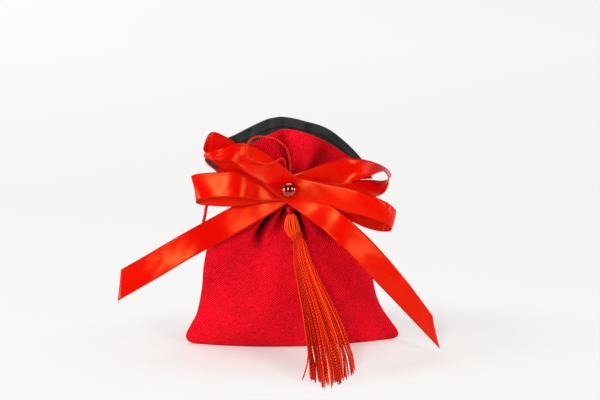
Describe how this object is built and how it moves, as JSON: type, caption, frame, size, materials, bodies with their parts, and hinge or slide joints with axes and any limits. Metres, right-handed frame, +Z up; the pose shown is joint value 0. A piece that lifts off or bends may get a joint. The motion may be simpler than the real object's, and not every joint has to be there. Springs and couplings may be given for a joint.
{
  "type": "favour bag",
  "caption": "Small filled drawstring favour bag in red cotton with a black lining, tied with a satin ribbon bow, a round bead and a silk tassel.",
  "frame": {"origin": "middle of the flat base that the bag stands on", "axes": "+X along the bag's width to the right tail, +Y to its back, +Z up"},
  "size_m": [0.1533, 0.078, 0.1113],
  "materials": {
    "red_cotton": "twill, matt",
    "black_lining": "plain weave, matt",
    "red_string": "twisted cord",
    "satin_ribbon": "satin",
    "bead": "metallic gloss",
    "silk": "twisted threads"
  },
  "bodies": {
    "root": {"bag_outer": "red_cotton", "bag_lining": "black_lining", "drawstring": "red_string", "drawstring_loop": "red_string", "satin_bow": "satin_ribbon", "bead": "bead", "tassel_threads": "silk", "tassel_binding": "silk", "tassel_knot": "silk", "tassel_loop": "silk"}
  },
  "joints": []
}
